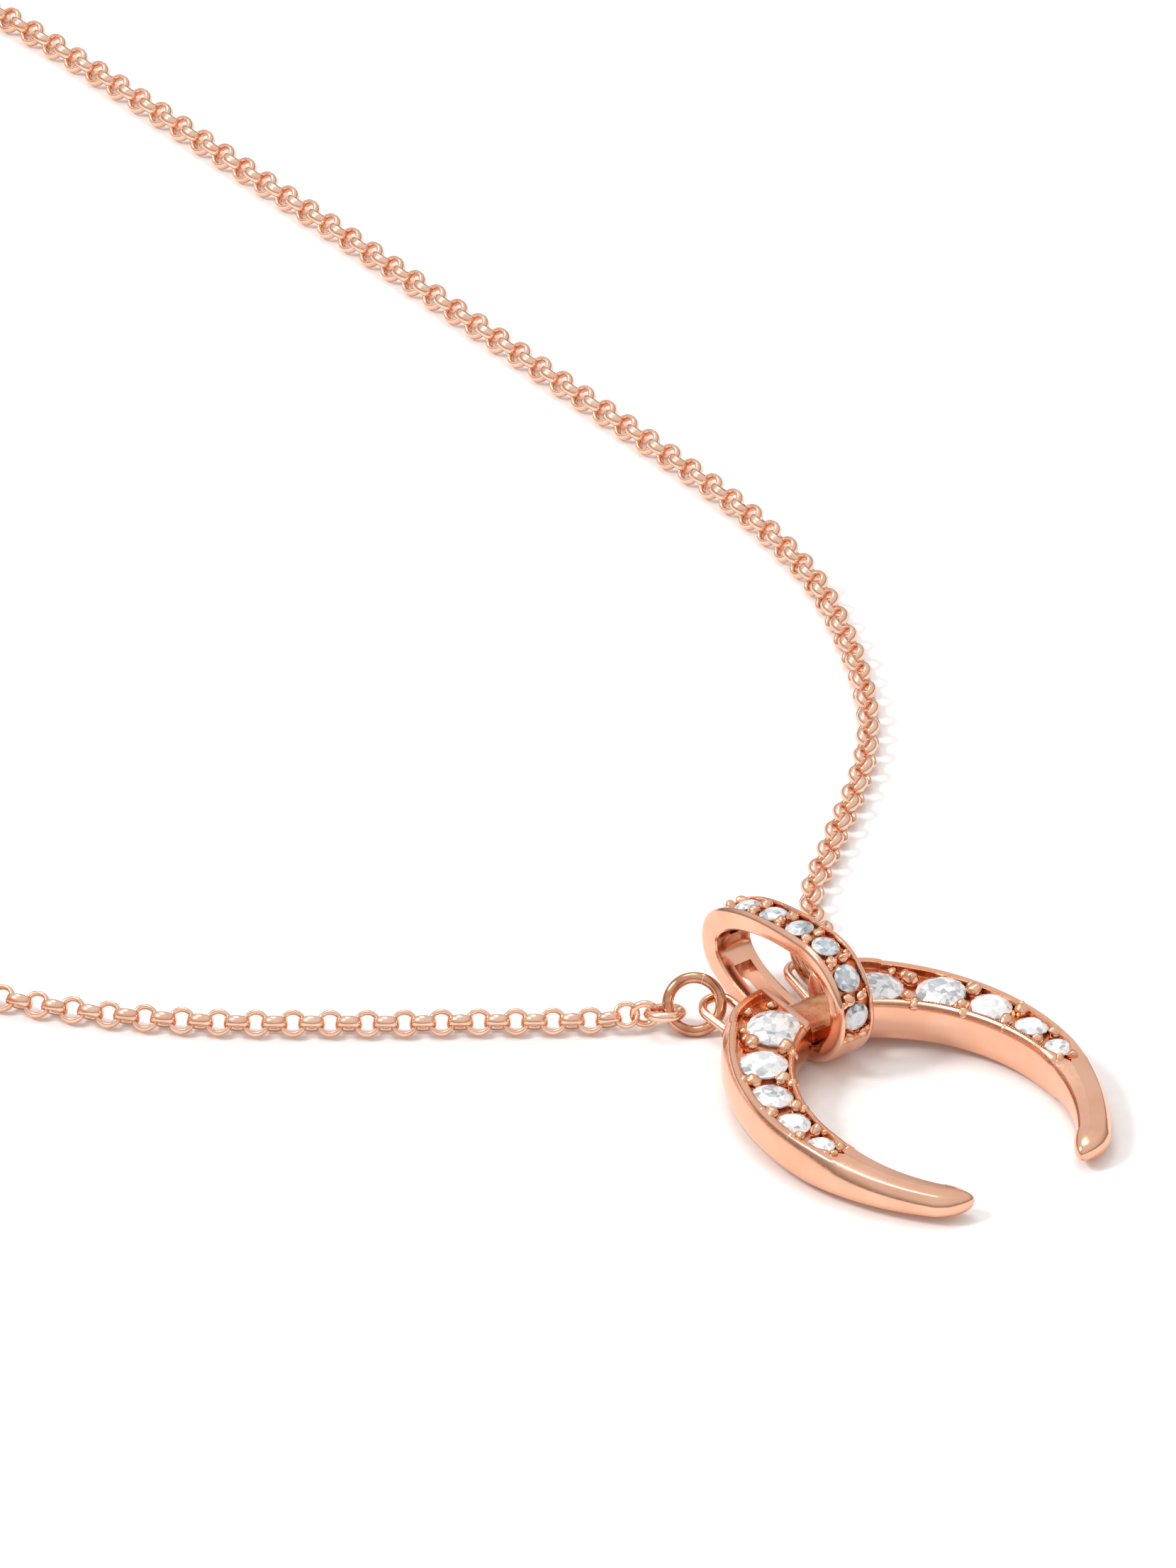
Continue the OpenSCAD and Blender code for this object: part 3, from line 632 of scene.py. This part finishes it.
def arm_section(p, q, opened, mark):
    """Points round one section of the arm, from the outer bottom over the top to the inner bottom."""
    w = np.linalg.norm(p - q)
    d = (q - p) / w
    mid_y = (p[1] + q[1]) / 2
    taper = min(max((-2 - mid_y) / 7.9, 0), 1)
    zb, zt = 0.62 * taper, HORN_T - 0.6 * taper
    flat = 1.0
    if isinstance(mark, tuple):
        flat = max((1 - mark[1] ** 3.5) ** 0.5, 0.02)
    else:
        zt -= {"end": 0.18, "brow": 0.05}.get(mark, 0)
    h = zt - zb
    lower_arm = mid_y < 0
    slim = max(0.0, 1 - max(0.0, w - 2 * TIP_R) / 1.1) if opened == 0 and lower_arm else 0.0
    bulge = 0 if mark == "end" else 0.3 * min(1, w / 1.2)
    deep = 0.015 * min(1, w)
    if opened > 0:
        deep = CHANNEL_DEPTH * (1 if opened > 0.95 else opened ** 0.6)
    crown = 0.1 * (1 - min(1, opened * 3)) * min(1, w / 1.4) if lower_arm else 0
    outer = [(w * 0.35, zb), (0.22, zb + 0.01), (0.02, zb + 0.08 * h), (-bulge * 0.62, zb + 0.17 * h),
             (-bulge * 0.95, zb + 0.32 * h), (-bulge, zb + 0.5 * h), (-bulge * 0.8, zb + 0.68 * h),
             (-bulge * 0.42, zb + 0.84 * h), (-0.03, zt - 0.09), (0.01, zt - 0.03), (0.05, zt)]
    inner = [(w, zt - 0.45), (w, zb + 0.3 * h), (w - 0.03, zb + 0.12 * h), (w - 0.12, zb + 0.02),
             (w * 0.65 if w > 0.5 else w * 0.7, zb)]
    middle = ((w - bulge) / 2, (zb + zt) / 2)
    half = ((w + bulge) / 2, h / 2)
    out = []
    for off, z in outer + channel_line(w, opened, deep, crown, zt) + inner:
        off = min(max(off, -bulge), w)
        if slim > 0:
            off, z = rounded(off, z, middle, half, slim)
        z = middle[1] + (z - middle[1]) * flat
        out.append(in_horn(p[0] + d[0] * off, p[1] + d[1] * off, z))
    return out


def horn_arm():
    """The left arm, with the floor and walls of its channel in the rougher gold that carries painted shade.
    """
    pairs = edge_pairs()
    rows = [arm_section(*pair) for pair in pairs]
    verts, faces = grid(rows)
    m = len(rows[0])
    mats = []
    for f in faces[:-2]:
        k, row = f[0] % m, f[0] // m
        # Faces in the channel's floor and walls take the gold with painted shade.
        sunk = 12 <= k <= 19 and pairs[row][2] > 0.3
        mats.append(1 if sunk and row > 2 else 0)
    return verts, faces, [*mats, 0, 0]


def neck_bar():
    """The bar that joins the arms, round on top, hollowed below where the bail passes."""
    rows = []
    top = [(8.2, 1.55), (8.0, 1.7), (7.6, 1.82), (7.1, 1.86), (6.5, 1.8), (6.1, 1.66), (5.9, 1.45)]
    hollow_r = 2.12
    for x in np.linspace(-NECK_HALF - 0.25, NECK_HALF + 0.25, 15):
        row = [in_horn(x, y, z) for y, z in top]
        for i in range(9):
            a = math.radians(-118 + 50 * i / 8)
            y, z = BAIL_PIVOT + hollow_r * np.array([math.cos(a), math.sin(a)])
            row.append(at_row((x, y, z)))
        rows.append(row)
    return grid(rows)


def build_horn():
    """Both arms and the neck as one piece."""
    arm, arm_faces, mats = horn_arm()
    bar, bar_faces = neck_bar()
    mirrored = [(-v[0], v[1], v[2]) for v in arm]
    n = len(arm)
    faces = arm_faces + [tuple(n + i for i in reversed(f)) for f in arm_faces]
    faces += [tuple(2 * n + i for i in f) for f in bar_faces]
    # The neck bar under the bail is all in the gold with painted shade.
    return obj_from("horn_arms_and_neck", arm + mirrored + bar, faces, [GOLD, GOLD_PAINTED_SHADE],
                    mats + mats + [1] * len(bar_faces), 32)


placed(build_horn(), "pendant", "gold", "horn_body")


def brilliant(d, seed):
    """Round brilliant: table, stars, bezels, upper girdle, girdle, pavilion. Girdle at z = 0."""
    v = []

    def circle_of(n, r, z, off):
        start = len(v)
        for i in range(n):
            a = math.radians(off + 360 * i / n)
            v.append((r * d * math.cos(a), r * d * math.sin(a), z * d))
        return start

    t = circle_of(8, 0.285, 0.15, 0)
    m = circle_of(8, 0.392, 0.095, 22.5)
    g = circle_of(16, 0.5, 0.022, 0)
    b = circle_of(16, 0.5, -0.018, 0)
    low = circle_of(8, 0.12, -0.31, 22.5)
    tip = len(v)
    v.append((0, 0, -0.4 * d))
    f = [tuple(t + k for k in range(8))]
    for k in range(8):
        kp = (k - 1) % 8
        f.append((t + k, m + k, t + (k + 1) % 8))
        f.append((t + k, m + kp, g + 2 * k, m + k))
        f.append((m + k, g + 2 * k, g + 2 * k + 1))
        f.append((m + k, g + 2 * k + 1, g + (2 * k + 2) % 16))
        f.append((low + k, b + 2 * k + 1, b + 2 * k))
        f.append((low + k, b + (2 * k + 2) % 16, b + 2 * k + 1))
        f.append((tip, low + k, b + 2 * k, low + kp))
    for k in range(16):
        k2 = (k + 1) % 16
        f.append((g + k, b + k, b + k2, g + k2))
    rng = random.Random(seed)
    return v, f, [rng.random() for _ in f]


def stone_piece(name, stones, mat):
    """stones are (diameter, matrix) pairs, with the matrix from the stone to the part, in millimetres."""
    verts, faces, tones = [], [], []
    name_seed = sum(map(ord, name))
    for i, (d, place) in enumerate(stones):
        v, f, tone = brilliant(d, name_seed + i)
        base = len(verts)
        verts += [tuple(place @ Vector(p)) for p in v]
        faces += [tuple(base + k for k in face) for face in f]
        tones += tone
    mesh = bpy.data.meshes.new(name)
    mesh.from_pydata([tuple(c * MM for c in p) for p in verts], [], faces)
    layer = mesh.attributes.new("facet", "FLOAT", "FACE")
    layer.data.foreach_set("value", tones)
    mesh.materials.append(mat)
    o = bpy.data.objects.new(name, mesh)
    bpy.context.scene.collection.objects.link(o)
    return o


def frame_at(origin, z_dir, turn):
    """A matrix whose Z axis points along z_dir, turned about it."""
    q = Vector((0, 0, 1)).rotation_difference(Vector(z_dir).normalized())
    return Matrix.Translation(Vector(origin)) @ q.to_matrix().to_4x4() @ Matrix.Rotation(turn, 4, "Z")


def stone_lean(i, side):
    """Each stone sits a little off true, as hand-set stones do."""
    right = side > 0
    return Vector((0.04 * ((i * 7 + right * 3) % 5 - 2), 0.05 * ((i * 5 + right * 2) % 3 - 1), 1))


for side, sign in (("left", -1), ("right", 1)):
    for i, (x, y, d) in enumerate(STONES):
        node = f"{side}_stone_{i + 1}"
        up = (Matrix.Rotation(HORN_TILT, 3, "X") @ stone_lean(i, sign)).normalized()
        spot = in_horn(sign * x, y, HORN_T - 0.2)
        piece = stone_piece(node + "_cut", [(d, frame_at(spot, up, 0.5 + 1.3 * i + sign))], STONE)
        placed(piece, "pendant", "stone", node)

PAST_LAST_STONE = (6.6, -3.4, 0.7)
GRAIN_R = (0.4, 0.38, 0.34, 0.29, 0.23)
CORNER_GRAINS = (((1.98, 8.2), 0.24), ((3.2, 8.35), 0.22), ((1.95, 5.95), 0.22), ((4.35, 7.2), 0.24))


def stone_grains(sign, i):
    """The grains past stone i: a pair cut up from the rims, and a smaller pair beside them."""
    x, y, d = STONES[i]
    nx, ny, nd = [*STONES, PAST_LAST_STONE][i + 1]
    here, there = np.array([x, y]), np.array([nx, ny])
    gap = np.linalg.norm(there - here)
    along = (there - here) / gap
    across = np.array([along[1], -along[0]])
    mid = here + along * (d / 2 + (gap - d / 2 - nd / 2) / 2)
    reach = (0.31 if i < 4 else 0.22) * d
    big = GRAIN_R[i]
    spots = []
    for s in (-1, 1):
        p = mid + across * s * reach
        spots.append((in_horn(sign * p[0], p[1], HORN_T - 0.1), big))
        p = mid + across * s * (reach + big * 0.95) + along * 0.28 * s
        spots.append((in_horn(sign * p[0], p[1], HORN_T - 0.2), big * 0.72))
    return spots


def horn_grains():
    spots = []
    for sign in (-1, 1):
        for i in range(len(STONES)):
            spots += stone_grains(sign, i)
        spots += [(in_horn(sign * x, y, HORN_T - 0.2), r) for (x, y), r in CORNER_GRAINS]
    return beads("horn_grains", spots, GOLD_BEAD)


placed(horn_grains(), "pendant", "gold")


def milgrain():
    """A row of fine beads along the channel's inner rim, laid twice in the same place on the right arm."""
    row = []
    a = math.radians(33)
    while a > math.radians(-10):
        x, y = OUTER_C + (inner_reach(a) + 0.3) * arm_dir(a)
        row.append((in_horn(-x, y, HORN_T - 0.01), 0.075))
        a -= 0.155 / OUTER_R
    return beads("horn_milgrain", row + row, GOLD_BEAD, 2)


placed(milgrain(), "pendant", "gold")


def soldered_loop(name, sign, node):
    """A bent wire soldered to the arm's shoulder, for the jump ring."""
    centre = Vector((-2.5, 11.3, 1.15))
    up = Vector((-0.05, -0.18, 1)).normalized()
    leg = Vector((0.1045, -0.9945, 0))
    leg = (leg - up * leg.dot(up)).normalized()
    across = up.cross(leg)
    bend, wire, leg_length, steps = 0.8, 0.22, 2.3, 12
    pts = [centre + across * bend + leg * (leg_length - leg_length * i / steps) for i in range(steps)]
    for i in range(25):
        a = math.pi * i / 24
        pts.append(centre + bend * (math.cos(a) * across - math.sin(a) * leg))
    pts += [centre - across * bend + leg * leg_length * i / steps for i in range(1, steps + 1)]
    pts = [at_row(p) for p in pts]
    if sign > 0:
        pts = [(-p[0], p[1], p[2]) for p in pts]
    placed(tube(name, pts, wire, GOLD_WIRE, 20), "pendant", "gold", node)


soldered_loop("left_loop_wire", -1, "left_loop")
soldered_loop("right_loop_wire", 1, "right_loop")

# ---------------------------------------------------------------- bail



def oval(a):
    """A point of the bail's outer outline in the plane across its width, a going from the near end
    over the top. The near end is a half circle about the neck, so that the bail can turn there."""
    u, v = -math.cos(a), math.sin(a)
    if u <= 0:
        return BAIL_PIVOT + BAIL_NEAR * np.array([u, v])
    n = 2.25 if v > 0 else 2.5
    r = (abs(u / BAIL_REACH) ** n + abs(v / BAIL_NEAR) ** n) ** (-1 / n)
    return BAIL_PIVOT + np.array([r * u, r * v])


def bail_path():
    """Stations round the bail, as (run, point, outward direction), starting at the near end and going
    over the top. The run is the distance along the outer surface."""
    dense = np.array([oval(2 * math.pi * i / 2880) for i in range(2881)])
    run = np.concatenate([[0], np.cumsum(np.linalg.norm(np.diff(dense, axis=0), axis=1))])
    n = 240
    pts = np.array([[np.interp(run[-1] * i / n, run, dense[:, k]) for k in range(2)] for i in range(n)])
    out = []
    for i in range(n):
        t = pts[(i + 1) % n] - pts[i - 1]
        t /= np.linalg.norm(t)
        out.append((run[-1] * i / n, pts[i], np.array([-t[1], t[0]])))
    return out, run[-1]


PATH, BAIL_RUN = bail_path()
STONE_RUNS = [0.2 + BAIL_PITCH * i for i in range(7)]


def bail_section(wall, opened):
    """Across the band, as (across, depth below the outer surface): polished round edges, thin rims, and
    between them a channel that is sunk only where the stones are."""
    w = BAIL_HALF
    deep = 0.3 * opened
    half = [(0.34, wall), (w - 0.24, wall), (w - 0.11, wall - 0.04), (w - 0.03, wall - 0.13),
            (w, wall - 0.28), (w, 0.32), (w - 0.03, 0.19), (w - 0.09, 0.08), (w - 0.17, 0.02),
            (w - 0.24, 0.0), (w - 0.31, 0.015), (w - 0.34, 0.05 * opened + 0.02), (w - 0.36, deep + 0.005),
            (w - 0.4, deep)]
    return [(-x, depth) for x, depth in half] + [(0, deep)] + half[::-1]


def bail_mesh():
    """The band, a little thicker at its far end, before its slot and light holes are cut."""
    rows, opened_at = [], []
    first, last = -1.15, STONE_RUNS[-1] + 1.1
    for run, p, n in PATH:
        r = run if run < BAIL_RUN - 3 else run - BAIL_RUN
        opened = ease(min(r - first, last - r) / 0.25)
        wall = BAIL_WALL + 0.34 * max(0.0, (p[0] - 9.3) / 5.4) ** 1.5
        row = []
        for x, depth in bail_section(wall, opened):
            q = p - n * depth
            row.append(at_row((x, q[0], q[1])))
        rows.append(row)
        opened_at.append(opened)
    verts, faces = grid(rows, closed_u=True)
    m = len(rows[0])
    # The sunk channel between the bail's rims takes the gold with painted shade.
    mats = [1 if 11 <= f[0] % m <= 16 and opened_at[f[0] // m] > 0.5 else 0 for f in faces]
    return obj_from("bail_band", verts, faces, [GOLD, GOLD_PAINTED_SHADE], mats, 30)


def station(run):
    """Point and outward direction at a run along the outer surface."""
    runs = [s[0] for s in PATH]
    run %= BAIL_RUN
    i = max(0, min(len(runs) - 2, int(np.searchsorted(runs, run)) - 1))
    k = (run - runs[i]) / (runs[i + 1] - runs[i])
    n = PATH[i][2] * (1 - k) + PATH[i + 1][2] * k
    return PATH[i][1] * (1 - k) + PATH[i + 1][1] * k, n / np.linalg.norm(n)


def add_slot(bm):
    """The cutter for the slot through the bail's floor, a long hole with round ends."""
    sides, end_r, middle_y, half_run = 32, 0.5, 10.45, 2.3
    outline = []
    for i in range(sides):
        a = 2 * math.pi * i / sides
        y = middle_y + end_r * math.sin(a) + (half_run if math.sin(a) > 0 else -half_run)
        outline.append((end_r * math.cos(a), y))
    low = [bm.verts.new(Vector(at_row((x, y, -0.4))) * MM) for x, y in outline]
    high = [bm.verts.new(Vector(at_row((x, y, 2.0))) * MM) for x, y in outline]
    bm.faces.new(list(reversed(low)))
    bm.faces.new(high)
    for i in range(sides):
        j = (i + 1) % sides
        bm.faces.new((low[i], low[j], high[j], high[i]))


def add_light_hole(bm, run):
    """The cutter for the hole behind a stone, wider at the stone."""
    p, n = station(run)
    place = frame_at(at_row((0, p[0], p[1])), (0, n[0], n[1]), 0)
    made = bmesh.ops.create_cone(bm, cap_ends=True, segments=24, radius1=0.36 * MM, radius2=0.5 * MM,
                                 depth=1.3 * MM)
    shift = Matrix.Scale(MM, 4) @ place @ Matrix.Translation((0, 0, -0.66)) @ Matrix.Scale(1 / MM, 4)
    bmesh.ops.transform(bm, matrix=shift, verts=made["verts"])


def cut_bail(band):
    """Cuts the slot through the bail's floor and the light holes behind its stones."""
    bm = bmesh.new()
    add_slot(bm)
    for run in STONE_RUNS:
        add_light_hole(bm, run)
    bmesh.ops.recalc_face_normals(bm, faces=bm.faces)
    mesh = bpy.data.meshes.new("bail_cutter")
    bm.to_mesh(mesh)
    bm.free()
    cutter = bpy.data.objects.new("bail_cutter", mesh)
    bpy.context.scene.collection.objects.link(cutter)
    mod = band.modifiers.new("cut", "BOOLEAN")
    mod.operation = "DIFFERENCE"
    mod.solver = "EXACT"
    mod.object = cutter
    done = band.evaluated_get(bpy.context.evaluated_depsgraph_get())
    mesh = bpy.data.meshes.new_from_object(done)
    band.modifiers.remove(mod)
    band.data = mesh
    bpy.data.objects.remove(cutter)
    tidy(band, 30)


bail = bail_mesh()
cut_bail(bail)
placed(bail, "bail", "gold", "bail")


def bail_stones():
    """The bail's row of stones, each leaning a little to one side or the other."""
    stones = []
    for i, run in enumerate(STONE_RUNS):
        p, n = station(run)
        q = p - n * 0.17
        facing = (0.04 * (i % 3 - 1), n[0], n[1])
        stones.append((1.34, frame_at(at_row((0, q[0], q[1])), facing, 0.7 * i)))
    return stone_piece("bail_stones_cut", stones, STONE_GREY)


def bail_grains():
    """Pairs of grains before, between and after the stones, each with a smaller one beside it."""
    end_step = 0.85
    between = [STONE_RUNS[0] + BAIL_PITCH * (i + 0.5) for i in range(len(STONE_RUNS) - 1)]
    spots = []
    for run in [-end_step, *between, STONE_RUNS[-1] + end_step]:
        p, n = station(run)
        q = p - n * 0.14
        along = np.array([n[1], -n[0]])
        for s in (-1, 1):
            spots.append((at_row((s * 0.36, q[0], q[1])), 0.3))
            beside = q + along * 0.2 * s
            spots.append((at_row((s * 0.6, beside[0], beside[1])), 0.17))
    return beads("bail_grains", spots, GOLD_BEAD)


placed(bail_stones(), "bail", "stone", "bail_stones")
placed(bail_grains(), "bail", "gold")

# ---------------------------------------------------------------- rings and links


def flip(v, sign):
    """The same point or direction on the other side when the sign is negative."""
    return (v[0] * sign, v[1], v[2])


for side, sign in (("left", 1), ("right", -1)):
    jump = ring(side + "_jump_ring_wire", flip((-3.4, 12.07, 1.34), sign), flip((-0.52, -0.677, 0.521), sign),
                1.25, 0.27, GOLD_RING, gap=0.012, seam=0.6)
    end = ring(side + "_end_link_wire", flip((-4.57, 12.8, 0.97), sign), flip((0.15, 0.25, 1), sign),
               0.78, 0.24, GOLD_WIRE)
    connecting = ring(side + "_connecting_link_wire", flip((-5.3, 13.38, 0.9), sign),
                      flip((0.6, 0.75, 0), sign), 0.56, 0.17, GOLD_WIRE, gap=0.02, seam=2.0)
    placed(jump, side + "_jump", "gold", side + "_jump_ring")
    placed(end, "pendant", "gold", side + "_end_link")
    placed(connecting, "pendant", "gold", side + "_connecting_link")

# ---------------------------------------------------------------- clasp


def dressed(node, body, mat, slot, bevel):
    """A copy of a CAD node with its doubles merged and its edges rounded."""
    source = frame["nodes"][node]
    mesh = source.data.copy()
    mesh.name = node + "_finished"
    mesh.materials.clear()
    mesh.materials.append(mat)
    o = bpy.data.objects.new(node + "_finished", mesh)
    bpy.context.scene.collection.objects.link(o)
    bm = bmesh.new()
    bm.from_mesh(mesh)
    bmesh.ops.remove_doubles(bm, verts=bm.verts, dist=0.0005 * MM)
    bmesh.ops.dissolve_limit(bm, angle_limit=math.radians(1), verts=bm.verts, edges=bm.edges)
    for f in bm.faces:
        f.smooth = True
        f.material_index = 0
    bm.to_mesh(mesh)
    bm.free()
    b = o.modifiers.new("bevel", "BEVEL")
    b.width = bevel * MM
    b.segments = 3
    b.limit_method = "ANGLE"
    b.angle_limit = math.radians(35)
    b.harden_normals = True
    placed(o, body, slot, node)


dressed("clasp_body", "clasp", GOLD, "gold", 0.16)
dressed("clasp_trigger", "trigger", GOLD, "gold", 0.08)
dressed("clasp_pin", "clasp", GOLD_WIRE, "gold", 0.05)
dressed("clasp_spring", "clasp", SPRING, "spring", 0.03)

CLASP_RING_R, CLASP_RING_WIRE = 0.95, 0.25
CATCH_R, CATCH_WIRE = 1.9, 0.4
clasp_ring = ring("clasp_ring_wire",
                  tail_spot(LEFT_COIL, TAIL_END + RING_GAP + CLASP_RING_R + CLASP_RING_WIRE, 1.2),
                  (*TAIL_OUT, 0), CLASP_RING_R, CLASP_RING_WIRE, GOLD_WIRE, gap=0.02, seam=1.2)
catch_ring = ring("catch_ring_wire",
                  tail_spot(RIGHT_COIL, TAIL_END + RING_GAP + CATCH_R + CATCH_WIRE, CATCH_WIRE),
                  (0, 0, 1), CATCH_R, CATCH_WIRE, GOLD_WIRE)
placed(clasp_ring, "clasp_link", "gold", "clasp_ring")
placed(catch_ring, "catch", "gold", "catch_ring")

# ---------------------------------------------------------------- floor and light


def floor():
    """The pale surface that everything lies on."""
    mesh = bpy.data.meshes.new("floor")
    mesh.from_pydata([(-2, -2, 0), (2, -2, 0), (2, 2, 0), (-2, 2, 0)], [], [(0, 1, 2, 3)])
    m, t = material("white_paper")
    place = add(t, "ShaderNodeTexCoord")
    grain = add(t, "ShaderNodeTexNoise", None, {"Scale": 900.0, "Detail": 2.0},
                Vector=place.outputs["Object"])
    tone = ramp(t, grain.outputs["Fac"], [(0.3, colour("#FBF9F8")), (0.7, colour("#FFFFFF"))])
    sh = add(t, "ShaderNodeBsdfPrincipled", None, {"Roughness": 0.9, "Specular IOR Level": 0.1},
             Base_Color=tone.outputs["Color"])
    add(t, "ShaderNodeOutputMaterial", None, None, Surface=sh.outputs["BSDF"])
    mesh.materials.append(m)
    o = bpy.data.objects.new("floor", mesh)
    bpy.context.scene.collection.objects.link(o)


def lamp(name, spot, aim, size, watts, tint):
    """One soft rectangular light aimed at the part."""
    data = bpy.data.lights.new(name, "AREA")
    data.shape = "RECTANGLE"
    data.size, data.size_y = size
    data.energy = watts
    data.color = colour(tint)[:3]
    o = bpy.data.objects.new(name, data)
    o.location = Vector(spot)
    o.rotation_mode = "QUATERNION"
    o.rotation_quaternion = (Vector(aim) - Vector(spot)).to_track_quat("-Z", "Y")
    bpy.context.scene.collection.objects.link(o)


def world():
    """The surroundings, dark low down and white above."""
    w = bpy.data.worlds.new("studio")
    bpy.context.scene.world = w
    w.use_nodes = True
    t = w.node_tree
    t.nodes.clear()
    place = add(t, "ShaderNodeTexCoord")
    parts = add(t, "ShaderNodeSeparateXYZ", None, None, Vector=place.outputs["Generated"])
    sky = ramp(t, parts.outputs["Z"], [(0.0, colour("#7A706B")), (0.1, colour("#A79D97")),
                                       (0.42, colour("#F1EFEE")), (1.0, colour("#FFFFFF"))])
    bg = add(t, "ShaderNodeBackground", None, {"Strength": 0.9}, Color=sky.outputs["Color"])
    add(t, "ShaderNodeOutputWorld", None, None, Surface=bg.outputs["Background"])


floor()
world()
lamp("key", (-0.42, 0.22, 0.5), (0, 0.03, 0), (0.16, 0.16), 2.0, "#FFFDFB")
lamp("top", (0.05, 0.25, 0.7), (0, 0.03, 0), (0.3, 0.3), 0.9, "#FFFFFF")
bpy.context.scene.view_settings.view_transform = "Standard"
